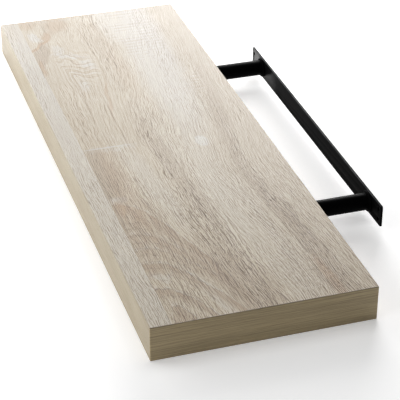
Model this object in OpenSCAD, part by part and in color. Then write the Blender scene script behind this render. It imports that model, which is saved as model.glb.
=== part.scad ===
// Wall shelf on a concealed two-armed bracket.
// A hollow-core board slides onto two round arms welded to a flat wall plate.
// +X runs along the shelf, +Y points into the wall, +Z is up.
// The origin is the centre of the wall plate's back face.

/* [Shelf board] */
// Length of the board
shelf_l = 700; // [600:10:900]
// Depth of the board, front to back
shelf_d = 230; // [210:5:300]
// Thickness of the board
shelf_t = 38; // [34:1:50]
// Thickness of the top and bottom panels
skin_t = 3; // [2.5:0.5:4]
// Thickness of the edge bands
band_t = 1; // [0.8:0.1:2]
// Radius of the eased outer edges
ease_r = 0.6; // [0.3:0.1:0.7]

/* [Inner frame] */
// Width of the rail behind the front edge
front_rail_w = 30; // [20:1:35]
// Width of the rail along the back edge
back_rail_w = 40; // [30:1:50]
// Width of the two end rails
end_rail_w = 30; // [20:1:45]
// Width of the cross rails that take the arms
socket_rail_w = 60; // [40:1:80]
// Depth of the channel behind the back rail, where the wall plate sinks in
recess_d = 6; // [5:0.5:12]

/* [Honeycomb core] */
// Width of one paper cell, flat to flat
cell_w = 22; // [18:1:40]
// Thickness of the paper
paper_t = 0.3; // [0.2:0.1:0.6]

/* [Wall bracket] */
// Length of the wall plate
plate_l = 410; // [340:10:500]
// Height of the wall plate
plate_h = 25; // [24:1:27]
// Thickness of the wall plate
plate_t = 2; // [1.5:0.5:3]
// Radius of the plate's corners
plate_r = 2; // [1:0.5:5]
// Outside diameter of the arms
arm_d = 19; // [14:1:20]
// Wall thickness of the arms
arm_wall = 1.2; // [0.8:0.1:2]
// Length of the arms, in front of the plate
arm_l = 165; // [120:5:170]
// Distance from each end of the plate to the axis of its arm
arm_inset = 35; // [30:1:60]
// Leg of the weld bead round the foot of each arm
weld_leg = 2.5; // [1:0.5:3]

/* [Wall screw holes] */
// Diameter of the holes for the wall screws
screw_d = 4.5; // [3.5:0.5:5.5]
// Distance from each end of the plate to its holes
screw_inset = 7; // [6:0.5:12]
// Distance from the plate's top and bottom edges to the holes
screw_edge = 6.5; // [5:0.5:8]

/* [Fits] */
// Gap all round each arm in its socket
socket_clear = 0.5; // [0.3:0.1:0.8]
// Room left in front of each arm's tip when the board meets the wall
tip_clear = 4; // [2:1:8]
// Gap between neighbouring ribbons of the honeycomb, filled with glue
glue_gap = 0.04; // [0.02:0.01:0.1]

/* [Position] */
// Distance the board is drawn off: from its back edge to the wall plate
pull_out = 65.5; // [0:0.5:90]

/* [Hidden] */
$fn = 64;

oak = [0.84, 0.79, 0.71];
oak_edge = [0.76, 0.70, 0.60];
fibreboard = [0.50, 0.38, 0.26];
chipboard = [0.74, 0.61, 0.43];
kraft = [0.66, 0.52, 0.36];
black_steel = [0.05, 0.05, 0.055];

// Places across the length, from the middle of the shelf
arm_x = plate_l / 2 - arm_inset;
frame_x = shelf_l / 2 - band_t;
bay_x = frame_x - end_rail_w;
socket_in_x = arm_x - socket_rail_w / 2;
socket_out_x = arm_x + socket_rail_w / 2;

// Places across the depth, from the board's back edge at zero
front_y = -shelf_d;
frame_front_y = front_y + band_t;
front_rail_y = frame_front_y + front_rail_w;
back_rail_y = -recess_d - back_rail_w;

// Heights, from the middle of the board's thickness
core_t = shelf_t - 2 * skin_t;
socket_d = arm_d + 2 * socket_clear;
socket_depth = plate_t + arm_l + tip_clear;
bead = min(weld_leg, (plate_h - arm_d) / 2);

// Puts the board's pieces where the board stands, drawn off the bracket
module in_shelf() {
    translate([0, -plate_t - pull_out, 0]) children();
}

// Box between two corners
module block(low, high) {
    translate(low) cube(high - low);
}

// Piece of the inner frame, between the two panels
module rail(x_low, x_high, y_low, y_high) {
    block([x_low, y_low, -core_t / 2], [x_high, y_high, core_t / 2]);
}

// Centred rectangle with round corners
module round_rect(w, h, r) {
    square([w - 2 * r, h], center = true);
    square([w, h - 2 * r], center = true);
    for (sx = [-1, 1], sy = [-1, 1])
        translate([sx * (w / 2 - r), sy * (h / 2 - r)]) circle(r);
}

// The whole board's outline with its edges eased, from which the bands are cut
module eased_board() {
    translate([0, front_y / 2, 0]) intersection() {
        linear_extrude(shelf_t, center = true) round_rect(shelf_l, shelf_d, ease_r);
        rotate([90, 0, 0]) linear_extrude(shelf_d, center = true) round_rect(shelf_l, shelf_t, ease_r);
        rotate([90, 0, 90]) linear_extrude(shelf_l, center = true) round_rect(shelf_d, shelf_t, ease_r);
    }
}

// Stretch of edge band between two places in plan
module band(x_low, x_high, y_low, y_high) {
    intersection() {
        eased_board();
        block([x_low, y_low, -shelf_t / 2], [x_high, y_high, shelf_t / 2]);
    }
}

// Bore for one arm, from the board's back edge to its blind end
module socket_bore(side) {
    translate([side * arm_x, 0, 0]) rotate([90, 0, 0]) cylinder(d = socket_d, h = socket_depth);
}

module wall_plate() {
    color(black_steel) difference() {
        rotate([90, 0, 0]) linear_extrude(plate_t) round_rect(plate_l, plate_h, plate_r);
        for (sx = [-1, 1], sz = [-1, 1])
            translate([sx * (plate_l / 2 - screw_inset), 1, sz * (plate_h / 2 - screw_edge)])
                rotate([90, 0, 0]) cylinder(d = screw_d, h = plate_t + 2);
    }
}

module arm(side) {
    color(black_steel) translate([side * arm_x, -plate_t, 0]) rotate([90, 0, 0]) difference() {
        cylinder(d = arm_d, h = arm_l);
        translate([0, 0, -1]) cylinder(d = arm_d - 2 * arm_wall, h = arm_l + 2);
    }
}

module left_arm() { arm(-1); }
module right_arm() { arm(1); }

module arm_welds() {
    color(black_steel) for (side = [-1, 1])
        translate([side * arm_x, -plate_t, 0]) rotate([90, 0, 0])
            rotate_extrude() translate([arm_d / 2, 0]) polygon([[0, 0], [bead, 0], [0, bead]]);
}

module panel(z_low) {
    block([-frame_x, frame_front_y, z_low], [frame_x, 0, z_low + skin_t]);
}

module top_panel() { color(oak) in_shelf() panel(core_t / 2); }
module bottom_panel() { color(oak) in_shelf() panel(-shelf_t / 2); }

module front_edge_band() {
    color(oak_edge) in_shelf() band(-frame_x, frame_x, front_y, frame_front_y);
}

module left_edge_band() {
    color(oak_edge) in_shelf() band(-shelf_l / 2, -frame_x, front_y, 0);
}

module right_edge_band() {
    color(oak_edge) in_shelf() band(frame_x, shelf_l / 2, front_y, 0);
}

module front_rail() {
    color(chipboard) in_shelf() rail(-bay_x, bay_x, frame_front_y, front_rail_y);
}

module back_rail() {
    color(chipboard) in_shelf() difference() {
        rail(-bay_x, bay_x, back_rail_y, -recess_d);
        socket_bore(-1);
        socket_bore(1);
    }
}

module left_end_rail() { color(chipboard) in_shelf() rail(-frame_x, -bay_x, frame_front_y, 0); }
module right_end_rail() { color(chipboard) in_shelf() rail(bay_x, frame_x, frame_front_y, 0); }

module socket_rail(side) {
    color(chipboard) in_shelf() difference() {
        rail(side * arm_x - socket_rail_w / 2, side * arm_x + socket_rail_w / 2, front_rail_y, back_rail_y);
        socket_bore(side);
    }
}

module left_socket_rail() { socket_rail(-1); }
module right_socket_rail() { socket_rail(1); }

// One zigzag ribbon of paper. Each period has a low land, a rise, a high land and a fall.
// A corner is [place, level, lean]: the lean tells which way its mitre tips.
corner_at = [1/6, 2/6, 4/6, 5/6];
function corners(period, rise, n) = concat(
    [[0, -rise / 2, 0]],
    [for (i = [0 : n - 1], k = [0 : 3])
        [(i + corner_at[k]) * period, (k == 1 || k == 2 ? 1 : -1) * rise / 2, k < 2 ? -1 : 1]],
    [[n * period, -rise / 2, 0]]
);
function ribbon_side(path, mitre, half) =
    [for (c = path) [c[0] + c[2] * mitre * half, c[1] + half]];
function backwards(list) = [for (i = [len(list) - 1 : -1 : 0]) list[i]];

module ribbon(period, rise, n) {
    path = corners(period, rise, n);
    mitre = tan(atan2(rise, period / 6) / 2);
    linear_extrude(core_t, center = true) polygon(concat(
        ribbon_side(path, mitre, paper_t / 2),
        backwards(ribbon_side(path, mitre, -paper_t / 2))
    ));
}

// Honeycomb stretched to fill the bay between two places along the shelf
module core(x_low, x_high) {
    bay_l = x_high - x_low;
    bay_d = back_rail_y - front_rail_y;
    periods = max(1, round(bay_l / (cell_w * sqrt(3))));
    rows = max(2, round(bay_d / (cell_w / 2)));
    pitch = bay_d / rows;
    color(kraft) in_shelf() for (row = [0 : rows - 1])
        translate([x_low, front_rail_y + (row + 0.5) * pitch, 0])
            mirror([0, row % 2, 0]) ribbon(bay_l / periods, pitch - paper_t - glue_gap, periods);
}

module left_core() { core(-bay_x, -socket_out_x); }
module middle_core() { core(-socket_in_x, socket_in_x); }
module right_core() { core(socket_out_x, bay_x); }

wall_plate();
left_arm();
right_arm();
arm_welds();
top_panel();
bottom_panel();
front_edge_band();
left_edge_band();
right_edge_band();
front_rail();
back_rail();
left_end_rail();
right_end_rail();
left_socket_rail();
right_socket_rail();
left_core();
middle_core();
right_core();
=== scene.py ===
"""Hollow-core oak shelf drawn part-way off its concealed bracket of black steel.

The board and the bracket come packed, as the fixed frame. This script gives them
their finishes, welds the arms on with rippled beads, and sets up the studio.
"""
import math

import bmesh
import bpy
from mathutils import Matrix, Vector


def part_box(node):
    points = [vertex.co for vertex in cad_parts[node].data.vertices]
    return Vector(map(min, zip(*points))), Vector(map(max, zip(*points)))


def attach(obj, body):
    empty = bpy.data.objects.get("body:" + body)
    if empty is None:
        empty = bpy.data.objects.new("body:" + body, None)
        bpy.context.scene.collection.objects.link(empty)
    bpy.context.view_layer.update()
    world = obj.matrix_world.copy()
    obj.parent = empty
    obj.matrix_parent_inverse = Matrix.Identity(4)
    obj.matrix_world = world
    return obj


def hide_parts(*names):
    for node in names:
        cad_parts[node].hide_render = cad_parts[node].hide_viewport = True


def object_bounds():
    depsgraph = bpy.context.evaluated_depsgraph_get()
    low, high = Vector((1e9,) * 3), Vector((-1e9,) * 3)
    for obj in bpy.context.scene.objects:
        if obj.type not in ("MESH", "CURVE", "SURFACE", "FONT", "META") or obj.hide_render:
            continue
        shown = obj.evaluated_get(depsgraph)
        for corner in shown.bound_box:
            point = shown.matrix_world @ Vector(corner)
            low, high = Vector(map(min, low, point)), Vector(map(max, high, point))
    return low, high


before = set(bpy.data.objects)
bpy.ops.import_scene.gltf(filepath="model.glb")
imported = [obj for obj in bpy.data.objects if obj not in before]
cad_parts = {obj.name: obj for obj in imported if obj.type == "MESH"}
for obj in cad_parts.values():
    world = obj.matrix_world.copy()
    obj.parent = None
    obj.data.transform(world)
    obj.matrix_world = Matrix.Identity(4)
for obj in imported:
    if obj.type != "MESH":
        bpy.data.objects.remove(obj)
cad_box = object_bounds()

MM = 0.001


# ---------------------------------------------------------------- recipes
class Recipe:
    """Writes the nodes of a finish, or of a form that follows a rule, as short sums."""

    def __init__(self, tree):
        self.tree = tree

    def node(self, kind, feeds=None, **settings):
        made = self.tree.nodes.new(kind)
        for name, value in settings.items():
            setattr(made, name, value)
        for name, value in (feeds or {}).items():
            self.feed(made.inputs[name], value)
        return made

    def feed(self, socket, value):
        if isinstance(value, bpy.types.NodeSocket):
            self.tree.links.new(value, socket)
        elif value is not None:
            socket.default_value = value

    def math(self, operation, *values):
        made = self.node("ShaderNodeMath", operation=operation)
        for socket, value in zip(made.inputs, values):
            self.feed(socket, value)
        return made.outputs[0]

    def plus(self, a, b):
        return self.math("ADD", a, b)

    def minus(self, a, b):
        return self.math("SUBTRACT", a, b)

    def times(self, a, b):
        return self.math("MULTIPLY", a, b)

    def fused(self, a, b, c):
        """a times b, plus c."""
        return self.math("MULTIPLY_ADD", a, b, c)

    def larger(self, a, b):
        return self.math("MAXIMUM", a, b)

    def smaller(self, a, b):
        return self.math("MINIMUM", a, b)

    def share(self, value):
        """The value kept between nothing and all."""
        return self.larger(self.smaller(value, 1.0), 0.0)

    def total(self, *values):
        made = values[0]
        for value in values[1:]:
            made = self.plus(made, value)
        return made

    def wave(self, value, pitch, shift=0.0):
        """A sine wave along value, as long as pitch."""
        return self.math("SINE", self.fused(value, 2 * math.pi / pitch, shift))

    def ramp(self, value, low, high, out_low=0.0, out_high=1.0):
        """Rises softly from out_low to out_high while value goes from low to high."""
        made = self.node("ShaderNodeMapRange", interpolation_type="SMOOTHSTEP")
        feeds = (value, low, high, out_low, out_high)
        for socket, fed in zip(made.inputs, feeds):
            self.feed(socket, fed)
        return made.outputs[0]

    def vector(self, operation, a, b=None):
        made = self.node("ShaderNodeVectorMath", operation=operation)
        self.feed(made.inputs[0], a)
        self.feed(made.inputs[1], b)
        return made.outputs["Value" if operation == "LENGTH" else "Vector"]

    def scaled(self, a, size):
        """A place or direction times one number."""
        made = self.node("ShaderNodeVectorMath", {"Scale": size}, operation="SCALE")
        self.feed(made.inputs[0], a)
        return made.outputs["Vector"]

    def place(self, x, y, z):
        return self.node("ShaderNodeCombineXYZ", {"X": x, "Y": y, "Z": z}).outputs[0]

    def parts(self, place):
        made = self.node("ShaderNodeSeparateXYZ", {"Vector": place})
        return made.outputs["X"], made.outputs["Y"], made.outputs["Z"]

    def clouds(self, place, pitch, detail, rough=0.5, lean=0.0):
        """Soft noise round zero, whose lumps are about as long as pitch."""
        sized = self.vector("DIVIDE", place, pitch)
        made = self.node("ShaderNodeTexNoise", {
            "Vector": sized, "Scale": 1.0, "Detail": detail,
            "Roughness": rough, "Distortion": lean,
        })
        return self.minus(made.outputs["Fac"], 0.5)

    def blend(self, share, a, b):
        """Value a turned towards value b by share."""
        made = self.node("ShaderNodeMix", {"Factor": share}, data_type="FLOAT")
        self.feed(made.inputs[2], a)
        self.feed(made.inputs[3], b)
        return made.outputs[0]

    def tint(self, share, a, b, way="MIX"):
        """Colour a turned towards b by share."""
        made = self.node("ShaderNodeMix", data_type="RGBA", blend_type=way)
        self.feed(made.inputs["Factor"], share)
        self.feed(made.inputs[6], a)
        self.feed(made.inputs[7], b)
        return made.outputs[2]

    def spot(self, place, middle, long, wide, turn, soft):
        """One inside a long soft-edged patch, and nothing outside it."""
        made = self.node("ShaderNodeMapping", {
            "Vector": place,
            "Location": (middle[0], middle[1], 0),
            "Rotation": (0, 0, math.radians(turn)),
            "Scale": (long / 2, wide / 2, 1),
        }, vector_type="TEXTURE")
        return self.ramp(self.vector("LENGTH", made.outputs[0]), 1 + soft, 1 - soft)

    def spots(self, place, table):
        """Several spots added up, each times its own amount."""
        made = 0.0
        for middle, long, wide, turn, soft, amount in table:
            spot = self.spot(place, middle, long, wide, turn, soft)
            made = self.plus(made, self.times(spot, amount))
        return made


def rgb(r, g, b):
    return (r, g, b, 1.0)


def add_object(name, data):
    """A new object that shows data, placed in the scene."""
    added = bpy.data.objects.new(name, data)
    bpy.context.scene.collection.objects.link(added)
    return added


def shared_effect(name, inputs, outputs):
    """A named effect that several finishes use. Gives the group, its recipe and both ends."""
    group = bpy.data.node_groups.new(name, "ShaderNodeTree")
    kinds = {"value": "NodeSocketFloat", "colour": "NodeSocketColor", "place": "NodeSocketVector"}
    for label, kind, start in inputs:
        socket = group.interface.new_socket(label, in_out="INPUT", socket_type=kinds[kind])
        if start is not None:
            socket.default_value = start
    for label, kind in outputs:
        group.interface.new_socket(label, in_out="OUTPUT", socket_type=kinds[kind])
    recipe = Recipe(group)
    given = recipe.node("NodeGroupInput").outputs
    made = recipe.node("NodeGroupOutput").inputs
    return group, recipe, given, made


def use(recipe, group, **feeds):
    """Places a shared effect in a finish, with that finish's own values."""
    made = recipe.node("ShaderNodeGroup", node_tree=group)
    for name, value in feeds.items():
        recipe.feed(made.inputs[name.replace("_", " ")], value)
    return made.outputs


def new_finish(name):
    """An empty finish: its material, recipe and shader."""
    finish = bpy.data.materials.new(name)
    finish.use_nodes = True
    recipe = Recipe(finish.node_tree)
    return finish, recipe, finish.node_tree.nodes["Principled BSDF"]


def lay_bump(recipe, shader, relief, depth, strength):
    """Raises the surface by relief, about minus one to one, times depth in metres."""
    bump = recipe.node("ShaderNodeBump", {
        "Strength": strength, "Distance": depth, "Height": relief,
    })
    recipe.feed(shader.inputs["Normal"], bump.outputs["Normal"])


# ---------------------------------------------------------------- shared effects
def make_oak_fibre():
    """Straight oak grain in millimetres: X runs along the fibres and Y across them."""
    group, r, given, made = shared_effect("oak_fibre", [
        ("Place", "place", None),
        ("Belt", "value", 0.0),
    ], [("Streaks", "value"), ("Hairs with painted shading", "value"), ("Pores", "value"), ("Relief", "value")])
    place = given["Place"]
    broad = r.clouds(place, (150, 5.0, 30), 2, 0.55)
    fine = r.clouds(place, (46, 2.4, 30), 3, 0.6)

    # Each hair and grit mark gets a light side and a dark one: painted light and shade of their
    # pressed-in relief.
    hair_look = ((25, 1.15, 30), 4, 0.65)
    grit_look = ((13, 1.6, 30), 3, 0.65)
    shifted = r.vector("ADD", place, (0.0, 0.7, 0.0))
    hair = r.clouds(place, *hair_look)
    hair_painted_shading = r.minus(hair, r.clouds(shifted, *hair_look))
    grit = r.clouds(place, *grit_look)
    grit_painted_shading = r.minus(grit, r.clouds(shifted, *grit_look))
    hairs_with_painted_shading = r.total(
        r.times(hair, 1.3), r.times(hair_painted_shading, 1.7), r.times(grit, 0.9), r.times(grit_painted_shading, 1.9),
    )

    # Pores: short dashes everywhere, and broken lines in the belts.
    dash = r.clouds(place, (9, 1.3, 30), 2, 0.5, 0.3)
    _, across, _ = r.parts(place)
    strand = r.fused(r.clouds(place, (70, 9, 30), 2), 1.5, r.times(across, 1 / 5.4))
    line = r.times(
        r.ramp(r.wave(strand, 1.0), 0.86, 0.98),
        r.ramp(r.clouds(place, (30, 5, 30), 2), -0.02, 0.10),
    )
    pores = r.larger(
        r.times(r.ramp(dash, 0.11, 0.21), r.fused(given["Belt"], 0.5, 0.5)),
        r.times(line, given["Belt"]),
    )
    raised = r.times(r.plus(fine, r.times(hair, 1.5)), 1.2)
    r.feed(made["Streaks"], r.plus(r.times(broad, 0.55), fine))
    r.feed(made["Hairs with painted shading"], hairs_with_painted_shading)
    r.feed(made["Pores"], pores)
    r.feed(made["Relief"], r.minus(raised, r.times(pores, 0.9)))
    return group


def make_handled_surface():
    """Grain-fine unevenness of a surface that hands and tools have touched."""
    group, r, given, made = shared_effect("handled_surface", [
        ("Place", "place", None),
        ("Amount", "value", 0.1),
    ], [("Change", "value")])
    smears = r.clouds(given["Place"], (90, 60, 40), 4, 0.65)
    specks = r.clouds(given["Place"], (2.5, 2.5, 2.5), 2, 0.5)
    r.feed(made["Change"], r.times(r.fused(specks, 0.4, smears), given["Amount"]))
    return group


def make_pressed_flakes():
    """Pressed wood flakes with fine dust between them, in millimetres."""
    group, r, given, made = shared_effect("pressed_flakes", [
        ("Place", "place", None),
        ("Flake size", "value", 3.0),
    ], [("Flake", "value"), ("Edge", "value"), ("Relief", "value")])
    thick = given["Flake size"]
    sized = r.vector("DIVIDE", given["Place"], r.place(r.times(thick, 3.0), r.times(thick, 2.2), thick))
    bent = r.vector("ADD", sized, r.place(
        r.clouds(sized, (1, 1, 1), 2), r.clouds(sized, (1.3, 0.8, 1.1), 2), 0.0,
    ))
    cells = r.node("ShaderNodeTexVoronoi", {"Vector": bent, "Scale": 1.0, "Randomness": 1.0})
    flake = r.parts(cells.outputs["Color"])[0]
    edge = r.ramp(cells.outputs["Distance"], 0.35, 0.75)
    r.feed(made["Flake"], flake)
    r.feed(made["Edge"], edge)
    r.feed(made["Relief"], r.minus(r.times(flake, 0.6), edge))
    return group


oak_fibre = make_oak_fibre()
handled_surface = make_handled_surface()
pressed_flakes = make_pressed_flakes()


# ---------------------------------------------------------------- oak foil
OAK = rgb(0.362, 0.302, 0.221)
OAK_PALE = rgb(0.389, 0.359, 0.317)
OAK_BROWN = rgb(0.244, 0.179, 0.111)
OAK_RUST = rgb(0.293, 0.194, 0.107)
GRAIN_DARK = rgb(0.64, 0.57, 0.49)
GRAIN_LIGHT = rgb(1.15, 1.18, 1.22)
PORE_DARK = rgb(0.42, 0.34, 0.26)
# Painted shade and light along the board: the print is darker and cooler towards the left end and
# lighter and warmer towards the right end, to balance the lamps.
FAR_PAINTED_SHADE = rgb(0.85, 0.875, 0.92)
NEAR_PAINTED_LIGHT = rgb(1.07, 1.045, 0.965)
BACK_TONE = rgb(0.940, 0.940, 0.960)
FOIL_ROUGH = 0.60
FOIL_IOR = 1.40

# Millimetres from the front edge: where the front stave ends, and where the loop that
# looks like an eye is widest.
STAVE_LINE = 22.0
EYE_MIDDLE = 32.0

# Millimetres from the left end: where the wide staves meet, and where the fibres sag most.
BUTT_JOINT = 354.0
FIBRE_LOW = 430.0

# In the tables below each patch of the print is its middle in millimetres, its length
# and width, its turn in degrees, its softness, and the amount that it adds.
GRAIN_PATCHES = (
    ((350, 180), 1000, 38, 0, 0.5, 0.40), ((300, 114), 1000, 36, 0, 0.5, 0.50),
    ((350, 48), 1000, 44, 0, 0.5, 0.25), ((350, 148), 1000, 36, 0, 0.5, -0.18),
    ((60, 216), 240, 40, 0, 0.5, -0.36), ((215, 178), 150, 90, 0, 0.5, 0.30),
    ((235, 102), 110, 56, 0, 0.5, -0.42), ((425, 95), 110, 76, 0, 0.5, -0.44),
    ((395, 194), 130, 86, 0, 0.5, -0.36), ((12, 36), 70, 90, 0, 0.5, -0.25),
    ((520, 12), 330, 30, 0, 0.5, -0.20), ((50, 148), 110, 34, 0, 0.5, -0.18),
)
GROOVE_PATCHES = (
    ((265, 62), 270, 66, -2, 0.5, 0.15), ((480, 128), 260, 50, 8, 0.5, 0.08),
)
BROWN_PATCHES = (
    ((655, 112), 150, 46, 10, 0.5, 0.58), ((430, 108), 240, 20, 3, 0.6, 0.42),
    ((95, 112), 190, 24, -3, 0.6, 0.18), ((330, 192), 260, 18, -8, 0.6, 0.40),
    ((20, 64), 50, 40, 0, 0.4, 0.20), ((108, 30), 76, 18, -14, 0.25, 0.62),
    ((500, 58), 60, 9, 8, 0.5, 0.45),
)
RUST_PATCHES = (
    ((22, 68), 40, 28, -10, 0.5, 0.45), ((54, 49), 34, 11, -10, 0.4, 0.75),
    ((12, 30), 22, 34, 0, 0.5, 0.40), ((80, 33), 40, 6, -48, 0.4, 0.95),
    ((140, 25), 34, 6.5, -5, 0.4, 0.75), ((232, 83), 96, 4, -9, 0.5, 0.50),
    ((170, 116), 130, 20, -2, 0.6, 0.16), ((450, 43), 190, 26, 0, 0.5, 0.30),
    ((490, 29), 30, 13, 0, 0.5, 0.5), ((672, 192), 84, 11, 3, 0.5, 0.7),
)
PALE_PATCHES = (
    ((150, 162), 420, 54, -3, 0.45, 0.65), ((30, 132), 120, 26, 0, 0.6, 0.45),
    ((455, 122), 300, 44, 3, 0.6, 0.22), ((450, 76), 180, 26, 6, 0.6, 0.35),
    ((560, 152), 360, 40, 2, 0.5, 0.26), ((147, 80), 24, 17, 10, 0.5, 0.55),
    ((118, 64), 50, 9, 62, 0.5, 0.45), ((200, 63), 36, 12, 0, 0.6, 0.45),
    ((98, 54), 24, 16, 0, 0.5, 0.5), ((52, 34), 32, 12, 10, 0.4, 0.7),
    ((622, 34), 14, 24, 0, 0.6, 0.55), ((665, 74), 90, 13, 12, 0.6, 0.45),
    ((360, 50), 10, 56, 0, 0.5, 0.35),
)
PALE_KNOTS = (
    ((372, 155), 22, 13, 0, 0.4, 1.0), ((469, 33), 13, 17, 0, 0.5, 0.9),
)
SAWN_PATCHES = (
    ((75, 158), 150, 62, 0, 0.4, 1.0), ((225, 192), 60, 26, 0, 0.4, 0.8),
    ((640, 165), 120, 70, 0, 0.5, 0.5),
)
# Long single lines between the fibres: dark ones above zero, pale ones below it.
LONG_LINES = (
    ((590, 128.4), 200, 1.8, 0.6, 0.5, -0.65), ((600, 126.2), 130, 1.4, 1.0, 0.5, 0.48),
    ((590, 130.4), 130, 1.2, 0.6, 0.5, 0.18), ((590, 181.4), 200, 1.5, 5.1, 0.5, -0.40),
    ((577, 182.9), 110, 1.3, 5.0, 0.5, 0.35), ((561, 198.3), 90, 1.4, 4.8, 0.5, 0.50),
    ((664, 185.3), 64, 1.4, 3.9, 0.5, 0.45), ((547, 99.6), 115, 1.6, 2.9, 0.5, 0.32),
    ((455, 105.5), 95, 1.3, 3.1, 0.5, -0.25), ((475, 24.6), 145, 1.4, 0.6, 0.5, 0.35),
    ((296, 74.6), 118, 1.4, -1.2, 0.5, 0.35), ((277, 77.6), 80, 1.3, -1.1, 0.5, -0.28),
    ((232, 53.1), 84, 1.3, -1.9, 0.5, 0.28), ((241, 49.4), 94, 1.3, -2.6, 0.5, -0.22),
    ((87, 94.2), 75, 1.4, 1.2, 0.5, 0.35), ((136, 97.0), 84, 1.3, 0.1, 0.5, -0.30),
    ((50, 122.0), 70, 1.4, 0.8, 0.5, -0.30), ((642, 48.1), 100, 1.4, 0.5, 0.5, 0.28),
)


def board_place(r):
    """Millimetres on the board: X from its left end, Y from its front edge, Z from its middle."""
    left = cad_box[0].x
    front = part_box("front_edge_band")[0].y
    middle = (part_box("top_panel")[1].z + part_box("bottom_panel")[0].z) / 2
    coordinates = r.node("ShaderNodeTexCoord").outputs["Object"]
    return r.scaled(r.vector("SUBTRACT", coordinates, (left, front, middle)), 1 / MM)


def half_thickness():
    """Millimetres from the middle of the board to its faces."""
    return (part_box("top_panel")[1].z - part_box("bottom_panel")[0].z) / 2 / MM


def flow_with_fibres(r, place):
    """Places that follow the fibres, which sag towards a low and wander a little."""
    x, y, _ = r.parts(place)
    from_low = r.minus(x, FIBRE_LOW)
    falls = r.fused(from_low, -0.13, -2.7)
    climbs = r.fused(from_low, 0.09, -2.7)
    sag = r.times(r.math("SMOOTH_MAX", falls, climbs, 12.0), r.ramp(y, 20.0, 170.0, 0.30, 1.0))
    wander = r.times(r.clouds(place, (150, 70, 50), 2), 16.0)
    ripple = r.times(r.clouds(place, (30, 12, 50), 3), 3.4)
    across = r.minus(r.total(y, wander, ripple), sag)
    return r.place(x, across, 0.0), across


def draw_left_flame(r, place, bends, reach):
    """Nested bends that come down from the second row's back edge, lean to the left and
    turn along the fibres."""
    x, y, _ = r.parts(place)
    swing = r.wave(y, 27.0, r.times(r.clouds(place, (70, 40, 50), 2), 6.0))
    down = r.total(x, r.times(r.minus(90.0, y), 0.45), r.times(swing, 3.2))
    along = r.fused(r.minus(y, 38.0), 3.2, 130.0)
    bend = r.total(
        r.math("SMOOTH_MIN", down, along, 14.0),
        r.times(r.clouds(place, (52, 40, 50), 2, 0.5), 30.0),
        r.times(r.clouds(place, (18, 15, 50), 2, 0.5), 15.0),
    )
    rings = r.times(r.plus(r.wave(bend, 14.0), r.wave(bend, 6.2)), 0.72)
    fading = r.ramp(r.clouds(place, (30, 12, 50), 2), -0.16, 0.16, 0.45, 1.0)
    legs = r.spot(place, (235, 52), 150, 26, -6, 0.5)
    reach = r.times(reach, r.ramp(y, 94.0, 88.0))
    return r.times(r.times(rings, fading), r.times(r.plus(bends, r.times(legs, 0.5)), reach))


def draw_half_loops(r, place, flow, near_stave):
    """Half loops of the right stave, which rise from the front stave. Each has a pale rim,
    a dark outline and a brown body that fades towards the next one."""
    x, y, _ = r.parts(place)
    rise = r.larger(r.minus(y, STAVE_LINE), 0.0)
    eye_rise = r.larger(r.minus(y, EYE_MIDDLE), r.times(r.minus(EYE_MIDDLE, y), 2.2))
    swept = r.total(
        x,
        r.times(r.clouds(place, (60, 30, 50), 3, 0.55), 26.0),
        r.times(r.clouds(place, (9, 4, 50), 2, 0.6), 9.0),
    )
    bodies, rims, outlines = 0.0, 0.0, 0.0
    for foot, lift, opening, length, depth, line in (
        (476, rise, 6.1, 70, 1.0, 0.5), (537, rise, 7.2, 34, 0.9, 0.5),
        (568, rise, 8.0, 26, 0.6, 0.8), (594, rise, 7.4, 24, 1.0, 1.2),
        (640, rise, 6.2, 16, 1.0, 2.0), (670, eye_rise, 2.9, 60, 0.9, 2.0),
    ):
        bend = r.times(r.times(lift, lift), 1 / (opening * opening))
        inside = r.minus(r.minus(swept, foot), bend)
        body = r.times(r.ramp(inside, 0.0, 3.0), r.ramp(inside, length * 1.4, 6.0))
        bodies = r.larger(bodies, r.times(body, depth))
        rims = r.plus(rims, r.times(r.ramp(inside, -6.0, -2.0), r.ramp(inside, 0.8, -1.0)))
        outline = r.times(r.ramp(inside, -0.6, 0.4), r.ramp(inside, 2.2, 0.9))
        outlines = r.plus(outlines, r.times(outline, line))
    nested = r.minus(swept, r.times(r.times(rise, rise), 1 / 50.0))
    between = r.ramp(r.wave(nested, 12.5), 0.78, 0.98)
    outlines = r.plus(outlines, r.times(between, r.spot(place, (604, 46), 190, 66, 12, 0.5)))

    on_stave = r.times(near_stave, r.ramp(y, STAVE_LINE, STAVE_LINE + 0.6))
    reach = r.times(r.ramp(rise, 100.0, 62.0), on_stave)
    faded = r.ramp(r.clouds(flow, (40, 6, 50), 2), -0.2, 0.15, 0.35, 1.0)
    broken = r.ramp(r.clouds(flow, (24, 5, 50), 2), -0.12, 0.14)
    bodies = r.times(r.times(bodies, reach), faded)
    rims = r.times(r.times(rims, reach), broken)
    outlines = r.times(r.times(outlines, reach), r.larger(broken, 0.5))
    return bodies, rims, outlines


def draw_saw_marks(r, place):
    """Faint ridges across the fibres, in patches: where they are high and where low."""
    x, _, _ = r.parts(place)
    wave = r.wave(r.plus(x, r.times(r.clouds(place, (9, 60, 50), 2), 6.0)), 8.2)
    broken = r.ramp(r.clouds(place, (22, 10, 50), 2), -0.10, 0.08)
    sawn = r.times(broken, r.spots(place, SAWN_PATCHES))
    return r.times(r.ramp(wave, 0.2, 0.95), sawn), r.times(r.ramp(wave, -0.2, -0.95), sawn)


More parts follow.
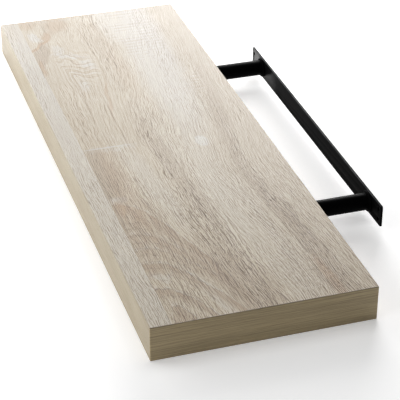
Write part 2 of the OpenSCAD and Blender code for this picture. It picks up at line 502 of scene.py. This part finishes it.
def make_oak_figure():
    """The printed oak: staves, flame figure, belts of pores and saw marks, in millimetres."""
    group, r, given, made = shared_effect("oak_figure", [
        ("Place", "place", None),
    ], [("Colour", "colour"), ("Relief", "value"), ("Sheen change", "value")])
    x, y, _ = r.parts(given["Place"])
    place = r.place(x, y, 0.0)
    flow, across = flow_with_fibres(r, place)

    # Patches with torn edges take their places from here.
    torn = r.vector("ADD", place, r.place(
        r.times(r.clouds(place, (60, 16, 50), 4, 0.6), 40.0),
        r.times(r.clouds(place, (40, 12, 50), 4, 0.6), 10.0),
        0.0,
    ))

    # The narrow stave along the front, then two wide ones that meet at a butt joint.
    front_stave = r.ramp(y, STAVE_LINE + 0.4, STAVE_LINE - 0.4)
    behind = r.minus(1.0, front_stave)
    near_stave = r.ramp(x, BUTT_JOINT, BUTT_JOINT + 1.0)
    second_row = r.times(behind, r.ramp(y, 116.0, 84.0))

    # Belts of open pores.
    belts = r.larger(
        r.times(r.spot(flow, (210, 80), 560, 24, 4, 0.5), 0.7),
        r.spot(flow, (560, 98), 520, 34, 0, 0.5),
    )
    belts = r.larger(belts, r.times(r.spot(flow, (590, 182), 420, 22, 0, 0.5), 0.8))
    fibre = use(r, oak_fibre, Place=flow, Belt=belts)

    bends = r.spot(place, (150, 66), 98, 56, 0, 0.4)
    figure = draw_left_flame(r, place, bends, r.times(r.minus(1.0, near_stave), second_row))
    bodies, rims, outlines = draw_half_loops(r, place, flow, near_stave)

    # How strong the grain is from place to place.
    patchy = r.ramp(r.clouds(flow, (130, 20, 50), 2), -0.14, 0.14, 0.55, 1.15)
    lively = r.plus(r.spots(place, GRAIN_PATCHES), 0.85)
    patchy = r.times(r.times(patchy, lively), r.fused(bends, -0.55, 1.0))
    opened = r.times(r.ramp(x, 120.0, 640.0, 1.15, 1.7), patchy)
    roughened = r.times(r.ramp(x, 240.0, 640.0, 0.84, 2.75), patchy)
    grooves = r.wave(across, 4.3, r.times(r.clouds(place, (90, 20, 50), 2), 9.0))
    grooves = r.times(grooves, r.spots(torn, GROOVE_PATCHES))
    broken = r.ramp(r.clouds(place, (22, 9, 50), 2), -0.16, 0.06, 0.6, 1.0)
    long_lines = r.times(r.spots(place, LONG_LINES), broken)
    long_lines = r.times(long_lines, r.ramp(x, 240.0, 640.0, 1.4, 2.8))
    grain = r.total(
        r.times(fibre["Streaks"], opened), r.times(fibre["Hairs with painted shading"], roughened),
        r.times(figure, 0.16), grooves, long_lines,
    )

    # Broad changes of colour, placed one by one.
    near_brown = r.times(r.spot(torn, (415, 33), 130, 26, 0, 0.4), near_stave)
    brown = r.total(
        r.spots(torn, BROWN_PATCHES),
        r.times(near_brown, 0.65),
        r.times(r.spot(flow, (610, 182), 320, 20, 0, 0.6), 0.55),
        r.times(bodies, 0.95),
    )
    brown = r.times(brown, behind)
    rust = r.times(r.plus(r.spots(torn, RUST_PATCHES), r.times(bodies, 0.30)), behind)
    pale = r.total(
        r.spots(torn, PALE_PATCHES),
        r.spots(place, PALE_KNOTS),
        r.times(front_stave, r.ramp(x, 10.0, 90.0, 0.30, 0.65)),
        r.times(rims, 0.55),
    )
    pale = r.times(pale, r.fused(r.plus(fibre["Streaks"], fibre["Hairs with painted shading"]), 0.8, 1.0))

    saw, valleys = draw_saw_marks(r, place)
    pore_depth = r.times(r.fused(belts, 0.62, 0.27), r.smaller(roughened, 2.2))
    butt_line = r.spot(place, (356, 48), 2.6, 58, 0, 0.4)
    edge_line = r.times(r.spot(place, (530, STAVE_LINE), 360, 1.2, 0, 0.4), 0.30)
    top_line = r.spot(place, (173, 93.2), 92, 1.8, -2.2, 0.5)
    crack = r.spot(place, (631, 18), 15, 1.5, 30, 0.5)

    colour = r.tint(r.share(pale), OAK, OAK_PALE)
    colour = r.tint(r.share(brown), colour, OAK_BROWN)
    colour = r.tint(r.share(rust), colour, OAK_RUST)
    colour = r.tint(r.share(r.times(figure, 0.42)), colour, OAK_BROWN)
    colour = r.tint(r.share(r.times(figure, -0.20)), colour, OAK_PALE)
    colour = r.tint(r.ramp(grain, -0.06, 0.60), colour, GRAIN_DARK, "MULTIPLY")
    colour = r.tint(r.ramp(grain, 0.06, -0.50), colour, GRAIN_LIGHT, "MULTIPLY")
    colour = r.tint(r.ramp(grain, 0.35, 1.30, 0.0, 0.55), colour, PORE_DARK, "MULTIPLY")
    colour = r.tint(r.share(r.times(fibre["Pores"], pore_depth)), colour, PORE_DARK, "MULTIPLY")
    colour = r.tint(r.share(r.plus(r.times(saw, 0.2), r.times(butt_line, 0.7))), colour, OAK_PALE)
    colour = r.tint(r.share(r.times(valleys, 0.35)), colour, GRAIN_DARK, "MULTIPLY")
    colour = r.tint(r.plus(edge_line, r.times(top_line, 0.4)), colour, OAK_BROWN)
    outlines = r.share(r.plus(r.times(outlines, 0.5), r.times(crack, 0.4)))
    colour = r.tint(outlines, colour, PORE_DARK, "MULTIPLY")

    # Painted shade towards the left end and painted light towards the right end; the strip along the
    # back edge is also a little darker and cooler.
    painted_light_and_tone = r.tint(r.ramp(x, -150.0, 850.0), FAR_PAINTED_SHADE, NEAR_PAINTED_LIGHT)
    painted_light_and_tone = r.tint(r.ramp(y, 130.0, 190.0), painted_light_and_tone, BACK_TONE, "MULTIPLY")
    r.feed(made["Colour"], r.tint(1.0, colour, painted_light_and_tone, "MULTIPLY"))
    r.feed(made["Relief"], r.total(
        fibre["Relief"], r.times(figure, 0.12), r.times(saw, 0.35), r.times(edge_line, -1.0),
    ))
    r.feed(made["Sheen change"], r.total(
        r.times(fibre["Pores"], 0.14), r.times(fibre["Hairs with painted shading"], 0.10), r.times(pale, -0.03),
    ))
    return group


oak_figure = make_oak_figure()


# ---------------------------------------------------------------- board finishes
FIBREBOARD_DARK = rgb(0.16, 0.095, 0.05)
FIBREBOARD_LIGHT = rgb(0.34, 0.225, 0.135)
FIBREBOARD_ROUGH = 0.9

# Millimetres under the face: where the foil ends, and where it covers fully.
FOIL_END = 0.35
FOIL_FULL = 0.25

# The underside carries the same print, turned half round and moved by this.
UNDERSIDE_SHIFT = (640, 250, 0)

BAND_LIGHT = rgb(0.404, 0.352, 0.256)
BAND_SHADE = rgb(0.318, 0.258, 0.172)
# The right end band's own colours, more olive and with darker lines than the other bands': painted
# shade of the end that faces away from the lamps.
END_BAND_PAINTED_SHADE_PALE = rgb(0.435, 0.340, 0.184)
END_BAND_PAINTED_SHADE_DARK = rgb(0.264, 0.202, 0.108)
# Painted shade on the front band: darker and cooler at its left end, darker and warmer at its right
# end.
BAND_FAR_PAINTED_SHADE = rgb(0.85, 0.85, 0.88)
BAND_NEAR_PAINTED_SHADE = rgb(0.94, 0.92, 0.87)
BAND_CUT = rgb(0.10, 0.07, 0.04)
BAND_ROUGH = 0.48
BAND_IOR = 1.48

# Keeps the bands' grain apart from the top's.
BAND_SHIFT = (37, 11, 5)

# Millimetres under the face: where a band's cut edge starts to darken, and is darkest.
CUT_START = 0.35
CUT_FULL = 0.15


def panel_finish(name, face_up):
    """Thin board with oak foil outside and plain brown fibreboard at its sawn edges."""
    finish, r, shader = new_finish(name)
    place = board_place(r)
    _, _, z = r.parts(place)
    half = half_thickness()
    if face_up:
        figure_place = place
        foil = r.ramp(z, half - FOIL_END, half - FOIL_FULL)
    else:
        figure_place = r.node("ShaderNodeMapping", {
            "Vector": place, "Location": UNDERSIDE_SHIFT, "Rotation": (0, 0, math.pi),
        }).outputs[0]
        foil = r.ramp(z, FOIL_END - half, FOIL_FULL - half)
    oak = use(r, oak_figure, Place=figure_place)
    speck = r.clouds(place, (1.1, 1.1, 0.5), 3, 0.7)
    layer = r.clouds(place, (30, 30, 0.35), 2, 0.6)
    board = r.tint(r.ramp(r.plus(speck, layer), -0.25, 0.3), FIBREBOARD_DARK, FIBREBOARD_LIGHT)
    r.feed(shader.inputs["Base Color"], r.tint(foil, board, oak["Colour"]))
    touched = use(r, handled_surface, Place=place, Amount=0.10)["Change"]
    foil_rough = r.total(FOIL_ROUGH, oak["Sheen change"], touched)
    r.feed(shader.inputs["Roughness"], r.blend(foil, FIBREBOARD_ROUGH, foil_rough))
    shader.inputs["IOR"].default_value = FOIL_IOR
    relief = r.blend(foil, r.times(speck, 2.5), oak["Relief"])
    lay_bump(r, shader, relief, 0.16 * MM, 0.8)
    return finish


def band_finish(name, light, shade, contrast, cut_edge, on_end=True):
    """Oak edge band with straight grain along its length, round the front or an end."""
    finish, r, shader = new_finish(name)
    place = board_place(r)
    x, y, z = r.parts(place)
    if on_end:
        turned = r.place(r.times(y, 0.45), r.times(z, 1.5), x)
    else:
        turned = r.place(x, z, y)
    turned = r.vector("ADD", turned, BAND_SHIFT)
    fibre = use(r, oak_fibre, Place=turned, Belt=0.6)
    wide = r.clouds(turned, (90, 16, 30), 2, 0.5)
    lines = r.plus(r.times(r.plus(fibre["Streaks"], fibre["Hairs with painted shading"]), contrast), r.times(wide, 1.1))
    colour = r.tint(r.ramp(lines, -0.45, 0.45), light, shade)
    pores = r.times(fibre["Pores"], 0.35 * contrast)
    colour = r.tint(r.share(pores), colour, PORE_DARK, "MULTIPLY")
    half = half_thickness()
    cut = r.ramp(r.math("ABSOLUTE", z), half - CUT_START, half - CUT_FULL)
    colour = r.tint(r.times(cut, cut_edge), colour, BAND_CUT)
    # The front band gets painted shade towards both of its ends.
    if not on_end:
        colour = r.tint(r.ramp(x, 120.0, -20.0), colour, BAND_FAR_PAINTED_SHADE, "MULTIPLY")
        colour = r.tint(r.ramp(x, 480.0, 700.0), colour, BAND_NEAR_PAINTED_SHADE, "MULTIPLY")
    r.feed(shader.inputs["Base Color"], colour)
    touched = use(r, handled_surface, Place=place, Amount=0.10)["Change"]
    r.feed(shader.inputs["Roughness"], r.total(BAND_ROUGH, r.times(fibre["Pores"], 0.12), touched))
    shader.inputs["IOR"].default_value = BAND_IOR
    lay_bump(r, shader, fibre["Relief"], 0.08 * MM, 0.6)
    return finish


# ---------------------------------------------------------------- hidden board finishes
CHIP_DARK = rgb(0.30, 0.20, 0.115)
CHIP_LIGHT = rgb(0.47, 0.345, 0.215)
FLAKE_DARK = rgb(0.25, 0.16, 0.09)
FLAKE_LIGHT = rgb(0.56, 0.42, 0.27)
CHIP_GAP = rgb(0.13, 0.08, 0.045)
CHIP_DUST = rgb(0.55, 0.44, 0.30)
KRAFT_DARK = rgb(0.26, 0.165, 0.09)
KRAFT_LIGHT = rgb(0.47, 0.33, 0.20)
CHIPBOARD_ROUGH = 0.88
KRAFT_ROUGH = 0.92


def chipboard_finish():
    """Sawn chipboard: coarse flakes and gaps in the middle of its thickness, fine chips outside."""
    finish, r, shader = new_finish("sawn_chipboard")
    place = board_place(r)
    flakes = use(r, pressed_flakes, Place=place, Flake_size=1.7)
    chips = use(r, pressed_flakes, Place=r.vector("ADD", place, (13, 7, 5)), Flake_size=0.8)
    dust = r.clouds(place, (0.5, 0.5, 0.4), 3, 0.65)
    _, _, z = r.parts(place)
    core_layer = r.ramp(r.math("ABSOLUTE", z), 14.0, 9.0, 0.25, 1.0)
    colour = r.tint(r.ramp(chips["Flake"], 0.0, 1.0), CHIP_DARK, CHIP_LIGHT)
    coarse = r.tint(r.ramp(flakes["Flake"], 0.0, 1.0), FLAKE_DARK, FLAKE_LIGHT)
    covered = r.times(core_layer, r.ramp(flakes["Edge"], 1.0, 0.0, 0.15, 0.75))
    colour = r.tint(covered, colour, coarse)
    gaps = r.times(r.times(flakes["Edge"], r.ramp(dust, -0.1, 0.15)), core_layer)
    colour = r.tint(r.times(gaps, 0.6), colour, CHIP_GAP)
    colour = r.tint(r.ramp(dust, -0.3, 0.4, 0.0, 0.35), colour, CHIP_DUST)
    r.feed(shader.inputs["Base Color"], colour)
    shader.inputs["Roughness"].default_value = CHIPBOARD_ROUGH
    relief = r.total(
        flakes["Relief"], r.times(chips["Relief"], 0.6), r.times(dust, 0.9), r.times(gaps, -0.8),
    )
    lay_bump(r, shader, relief, 0.25 * MM, 0.8)
    return finish


def kraft_finish():
    """Brown honeycomb paper with fibres and faint ribs."""
    finish, r, shader = new_finish("kraft_paper")
    place = board_place(r)
    fibres = r.clouds(place, (3.5, 3.5, 0.8), 3, 0.7, 0.8)
    _, _, z = r.parts(place)
    ribs = r.wave(z, 3.2)
    r.feed(shader.inputs["Base Color"], r.tint(r.ramp(fibres, -0.3, 0.35), KRAFT_DARK, KRAFT_LIGHT))
    shader.inputs["Roughness"].default_value = KRAFT_ROUGH
    lay_bump(r, shader, r.plus(fibres, r.times(ribs, 0.2)), 0.08 * MM, 0.6)
    return finish


# ---------------------------------------------------------------- steel finishes
PAINT_DARK = rgb(0.0014, 0.0014, 0.0015)
PAINT_LIGHT = rgb(0.0034, 0.0034, 0.0036)
BARE_STEEL_AND_HIGHLIGHT = rgb(0.22, 0.22, 0.23)
PAINT_IOR = 1.45
PAINT_SPECULAR = 0.010
GLOSS_ROUGH = 0.22


def steel_finish(name, rough, edge_wear_and_highlight=0.0, lumps=0.0, painted_end_reflection=0.0):
    """Black baked paint with a slight orange peel. Along the plate's edges it shows bare steel, partly
    wear and partly a painted highlight of the edge catching light; a gloss coat at the plate's left end
    is a painted reflection.
    """
    finish, r, shader = new_finish(name)
    place = r.scaled(r.node("ShaderNodeTexCoord").outputs["Object"], 1 / MM)
    peel = r.clouds(place, (1.7, 1.7, 1.7), 1, 0.4)
    grit = r.clouds(place, (0.35, 0.35, 0.35), 2, 0.5)
    touched = use(r, handled_surface, Place=place, Amount=0.22)["Change"]
    x, y, z = r.parts(place)
    low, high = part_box("wall_plate")
    half_height = (high.z - low.z) / 2 / MM
    half_thick = (high.y - low.y) / 2 / MM
    off_middle = r.math("ABSOLUTE", r.minus(y, (low.y + high.y) / 2 / MM))
    off_axis = r.math("ABSOLUTE", z)
    edge = r.times(
        r.ramp(off_axis, half_height - 1.0, half_height - 0.3),
        r.ramp(off_middle, half_thick - 0.4, half_thick - 0.2),
    )
    # Bare steel at the plate's edges: partly rubbed paint, partly a painted highlight where the edge
    # catches light.
    wear_and_highlight_patches = r.ramp(r.clouds(place, (30, 3, 2), 3, 0.6), -0.2, 0.2, 0.3 * edge_wear_and_highlight, edge_wear_and_highlight)
    wear_and_highlight = r.times(edge, wear_and_highlight_patches)
    colour = r.tint(r.ramp(touched, -0.06, 0.08), PAINT_DARK, PAINT_LIGHT)
    r.feed(shader.inputs["Base Color"], r.tint(wear_and_highlight, colour, BARE_STEEL_AND_HIGHLIGHT))
    r.feed(shader.inputs["Roughness"], r.total(rough, touched, r.times(wear_and_highlight, -0.08)))
    shader.inputs["IOR"].default_value = PAINT_IOR
    shader.inputs["Specular IOR Level"].default_value = PAINT_SPECULAR

    # Towards its left end the plate gets a gloss coat, kept off its edges: a painted reflection of the
    # floor at that end.
    end = low.x / MM
    painted_reflection = r.plus(
        r.ramp(x, end + 30, end + 22, 0.0, 0.22),
        r.ramp(x, end + 98, end + 56, 0.0, 0.20),
    )
    off_edge = r.ramp(off_axis, half_height - 0.2, half_height - 0.8)
    r.feed(shader.inputs["Coat Weight"], r.times(r.times(painted_reflection, off_edge), painted_end_reflection))
    shader.inputs["Coat Roughness"].default_value = GLOSS_ROUGH
    swellings = r.times(r.clouds(place, (2.2, 2.2, 2.2), 2), lumps)
    lay_bump(r, shader, r.total(peel, r.times(grit, 0.25), swellings), 0.05 * MM, 0.6)
    return finish


# ---------------------------------------------------------------- steel pieces
SAME_CORNER = 0.002 * MM
SAME_FACE = math.radians(0.5)
ROUNDED_FROM = math.radians(40)
SHARP_FROM = math.radians(35)

# Shares of a weld bead's leg: how far its middle is off arm and plate, and its radius.
BEAD_SEAT = 0.30
BEAD_ROUND = 0.60


def merged_copy(node, name):
    """A copy of a CAD node's mesh with shared corners, for a piece that adds to its shape."""
    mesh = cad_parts[node].data.copy()
    mesh.name = name
    form = bmesh.new()
    form.from_mesh(mesh)
    bmesh.ops.remove_doubles(form, verts=form.verts, dist=SAME_CORNER)
    bmesh.ops.dissolve_limit(form, angle_limit=SAME_FACE, verts=form.verts, edges=form.edges)
    form.to_mesh(mesh)
    form.free()
    mesh.materials.clear()
    return add_object(name, mesh)


def bake(piece):
    """Turns the piece's modifiers into plain mesh."""
    bpy.context.view_layer.update()
    graph = bpy.context.evaluated_depsgraph_get()
    mesh = bpy.data.meshes.new_from_object(piece.evaluated_get(graph), depsgraph=graph)
    mesh.name = piece.name
    piece.modifiers.clear()
    piece.data = mesh


def rounded_steel(node, name, radius, finish):
    """A CAD steel part with its sheared edges broken by a small radius."""
    piece = merged_copy(node, name)
    piece.data.materials.append(finish)
    edge = piece.modifiers.new("edge_radius", "BEVEL")
    edge.width = radius
    edge.segments = 3
    edge.limit_method = "ANGLE"
    edge.angle_limit = ROUNDED_FROM
    edge.harden_normals = False
    bake(piece)
    piece.data.set_sharp_from_angle(angle=SHARP_FROM)
    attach(piece, "bracket")
    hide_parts(node)


def make_bead_tree():
    """Geometry Nodes: a rippled weld bead round the foot of each arm."""
    tree = bpy.data.node_groups.new("weld_bead_round_arm", "GeometryNodeTree")
    tree.interface.new_socket("Geometry", in_out="INPUT", socket_type="NodeSocketGeometry")
    sizes = [
        ("Arm radius", 9.5 * MM), ("Bead leg", 2.5 * MM),
        ("Ripples round", 34.0), ("Ripple height", 0.28 * MM),
        ("Left arm", -0.17), ("Right arm", 0.17), ("Plate face", -0.002),
    ]
    for name, start in sizes:
        socket = tree.interface.new_socket(name, in_out="INPUT", socket_type="NodeSocketFloat")
        socket.default_value = start
    seed = tree.interface.new_socket("Seed", in_out="INPUT", socket_type="NodeSocketInt")
    seed.default_value = 5
    tree.interface.new_socket("Finish", in_out="INPUT", socket_type="NodeSocketMaterial")
    tree.interface.new_socket("Geometry", in_out="OUTPUT", socket_type="NodeSocketGeometry")
    g = Recipe(tree)
    given = g.node("NodeGroupInput").outputs
    made = g.node("NodeGroupOutput").inputs

    path = g.node("GeometryNodeCurvePrimitiveCircle", {
        "Resolution": 204, "Radius": g.fused(given["Bead leg"], BEAD_SEAT, given["Arm radius"]),
    })
    section = g.node("GeometryNodeCurvePrimitiveCircle", {
        "Resolution": 14, "Radius": g.times(given["Bead leg"], BEAD_ROUND),
    })
    ring = g.node("GeometryNodeCurveToMesh", {
        "Curve": path.outputs["Curve"], "Profile Curve": section.outputs["Curve"],
    })
    x, y, z = g.parts(g.node("GeometryNodeInputPosition").outputs[0])
    turn = g.math("ARCTAN2", y, x)
    bow = g.times(g.math("ABSOLUTE", z), g.math("DIVIDE", 0.9, given["Bead leg"]))
    stride = g.fused(turn, g.math("DIVIDE", given["Ripples round"], 2 * math.pi), bow)
    scallop = g.math("POWER", g.math("ABSOLUTE", g.math("SINE", g.times(stride, math.pi))), 0.6)
    seeded = g.place(g.times(given["Seed"], 0.013), 0.0, 0.0)
    moved = g.vector("ADD", g.node("GeometryNodeInputPosition").outputs[0], seeded)
    uneven = g.node("ShaderNodeTexNoise", {
        "Vector": moved, "Scale": 320.0, "Detail": 2.0,
    }).outputs["Fac"]
    push = g.times(g.total(scallop, g.times(uneven, 1.6), -1.2), given["Ripple height"])
    lift = g.scaled(g.node("GeometryNodeInputNormal").outputs[0], push)
    rippled = g.node("GeometryNodeSetPosition", {"Geometry": ring.outputs["Mesh"], "Offset": lift})
    both = g.node("GeometryNodeJoinGeometry")
    for arm in ("Left arm", "Right arm"):
        off_plate = g.fused(given["Bead leg"], -BEAD_SEAT, given["Plate face"])
        stood = g.node("GeometryNodeTransform", {
            "Geometry": rippled.outputs["Geometry"],
            "Translation": g.place(given[arm], off_plate, 0.0),
            "Rotation": (math.pi / 2, 0, 0),
        })
        tree.links.new(stood.outputs["Geometry"], both.inputs["Geometry"])
    solid = g.node("GeometryNodeRealizeInstances", {"Geometry": both.outputs["Geometry"]})
    smooth = g.node("GeometryNodeSetShadeSmooth", {"Geometry": solid.outputs["Geometry"]})
    painted = g.node("GeometryNodeSetMaterial", {
        "Geometry": smooth.outputs["Geometry"], "Material": given["Finish"],
    })
    g.feed(made["Geometry"], painted.outputs["Geometry"])
    return tree


def make_weld_beads(finish):
    """Both weld beads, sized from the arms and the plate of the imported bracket."""
    piece = add_object("weld_beads", bpy.data.meshes.new("weld_beads"))
    tree = make_bead_tree()
    grown = piece.modifiers.new("weld_bead_round_arm", "NODES")
    grown.node_group = tree
    left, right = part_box("left_arm"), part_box("right_arm")
    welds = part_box("arm_welds")
    values = {
        "Arm radius": (left[1].z - left[0].z) / 2,
        "Bead leg": welds[1].y - welds[0].y,
        "Left arm": (left[0].x + left[1].x) / 2,
        "Right arm": (right[0].x + right[1].x) / 2,
        "Plate face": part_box("wall_plate")[0].y,
        "Finish": finish,
    }
    for item in tree.interface.items_tree:
        if item.in_out == "INPUT" and item.name in values:
            grown[item.identifier] = values[item.name]
    bake(piece)
    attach(piece, "bracket")
    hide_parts("arm_welds")


# ---------------------------------------------------------------- studio
FLOOR_HEIGHT = -0.0191
FLOOR_GLOW = 0.361
FLOOR_REACH = 60.0
SURROUND_GLOW = 0.01

CAMERA_PLACE = (1.46750, -0.60673, 0.85713)
CAMERA_LENS = 138.80
CAMERA_SENSOR = 36.0

# Degrees: round the vertical, down from level, and round the line of sight.
CAMERA_TURN = 72.255
CAMERA_DOWN = 31.107
CAMERA_ROLL = 0.224

# Each soft box is its name, place, width, height and power. All are turned to the board.
BOARD_MIDDLE = (0.0, -0.18, 0.0)
SOFT_BOXES = (
    ("key_front", (-1.3, -0.9, 0.35), 0.8, 0.6, 10.1),
    ("key_back", (-1.1, 0.35, 0.5), 0.8, 0.8, 19.0),
    ("low_back", (-1.0, 0.5, 0.28), 0.6, 0.5, 9.4),
    ("overhead", (0.0, -0.05, 1.0), 0.5, 0.5, 2.6),
    ("near_fill", (0.6, -1.5, 0.7), 1.0, 1.0, 6.7),
    ("far_fill", (-0.6, -1.5, 0.7), 1.0, 1.0, 11.6),
    ("far_strip", (-1.2, -0.35, 0.15), 0.5, 0.25, 4.4),
    ("low_strip", (-1.0, -0.12, 0.2), 0.5, 0.3, 2.7),
)


def soft_light(name, place, width, height, power):
    """A large soft box at place, turned towards the board."""
    data = bpy.data.lights.new(name, "AREA")
    data.shape = "RECTANGLE"
    data.size = width
    data.size_y = height
    data.energy = power
    light = add_object(name, data)
    light.location = place
    aim = Vector(BOARD_MIDDLE) - Vector(place)
    light.rotation_euler = aim.to_track_quat("-Z", "Y").to_euler()


def lay_floor():
    """Plain white floor, a little self-lit as an overexposed studio floor is."""
    form = bmesh.new()
    bmesh.ops.create_grid(form, x_segments=2, y_segments=2, size=FLOOR_REACH)
    for vertex in form.verts:
        vertex.co.z = FLOOR_HEIGHT
    mesh = bpy.data.meshes.new("studio_floor")
    form.to_mesh(mesh)
    form.free()
    finish, _, shader = new_finish("studio_white")
    shader.inputs["Base Color"].default_value = rgb(0.90, 0.90, 0.90)
    shader.inputs["Roughness"].default_value = 0.9
    shader.inputs["Specular IOR Level"].default_value = 0.0
    shader.inputs["Emission Color"].default_value = rgb(1, 1, 1)
    shader.inputs["Emission Strength"].default_value = FLOOR_GLOW
    mesh.materials.append(finish)
    floor = add_object("studio_floor", mesh)


def set_camera():
    """The camera stands off the right end, in front of the board and above it."""
    data = bpy.data.cameras.new("camera")
    data.lens = CAMERA_LENS
    data.sensor_width = CAMERA_SENSOR
    data.clip_end = FLOOR_REACH
    camera = add_object("camera", data)
    camera.location = CAMERA_PLACE
    turned = Matrix.Rotation(math.radians(CAMERA_TURN), 4, "Z")
    tilted = Matrix.Rotation(math.radians(90 - CAMERA_DOWN), 4, "X")
    rolled = Matrix.Rotation(math.radians(CAMERA_ROLL), 4, "Z")
    camera.rotation_euler = (turned @ tilted @ rolled).to_euler()
    bpy.context.scene.camera = camera


def set_studio():
    """Eight soft boxes, most of them beyond the left end, a dim surround and the floor."""
    world = bpy.data.worlds.new("studio")
    world.use_nodes = True
    surround = world.node_tree.nodes["Background"]
    surround.inputs["Color"].default_value = rgb(1, 1, 1)
    surround.inputs["Strength"].default_value = SURROUND_GLOW
    scene = bpy.context.scene
    scene.world = world
    scene.view_settings.view_transform = "Standard"
    for box in SOFT_BOXES:
        soft_light(*box)
    lay_floor()


# ---------------------------------------------------------------- assembly
PLATE_EDGE_RADIUS = 0.35 * MM
TUBE_END_RADIUS = 0.25 * MM


def dress(node, finish):
    """Gives a CAD node a better finish."""
    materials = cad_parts[node].data.materials
    if not materials:
        materials.append(finish)
    for index in range(len(materials)):
        materials[index] = finish


set_camera()
set_studio()

dress("top_panel", panel_finish("oak_foil_top", face_up=True))
dress("bottom_panel", panel_finish("oak_foil_bottom", face_up=False))
dress("front_edge_band", band_finish("oak_band_front", BAND_LIGHT, BAND_SHADE, 0.5, 0.15, on_end=False))
dress("left_edge_band", band_finish("oak_band_left", BAND_LIGHT, BAND_SHADE, 0.7, 0.3))
# The right end band is a shaded copy of the band finish: painted shade.
dress("right_edge_band", band_finish("oak_band_right_painted_shade", END_BAND_PAINTED_SHADE_PALE, END_BAND_PAINTED_SHADE_DARK, 0.75, 0.7))

chipboard = chipboard_finish()
for rail in ("front_rail", "back_rail", "left_end_rail", "right_end_rail",
             "left_socket_rail", "right_socket_rail"):
    dress(rail, chipboard)
kraft = kraft_finish()
for core in ("left_core", "middle_core", "right_core"):
    dress(core, kraft)

plate_paint = steel_finish("black_plate_paint", 0.50, edge_wear_and_highlight=0.5, painted_end_reflection=1.0)
arm_paint = steel_finish("black_arm_paint", 0.46)
bead_paint = steel_finish("black_bead_paint", 0.50, lumps=1.5)
rounded_steel("wall_plate", "wall_plate_sheared", PLATE_EDGE_RADIUS, plate_paint)
rounded_steel("left_arm", "left_arm_tube", TUBE_END_RADIUS, arm_paint)
rounded_steel("right_arm", "right_arm_tube", TUBE_END_RADIUS, arm_paint)
make_weld_beads(bead_paint)
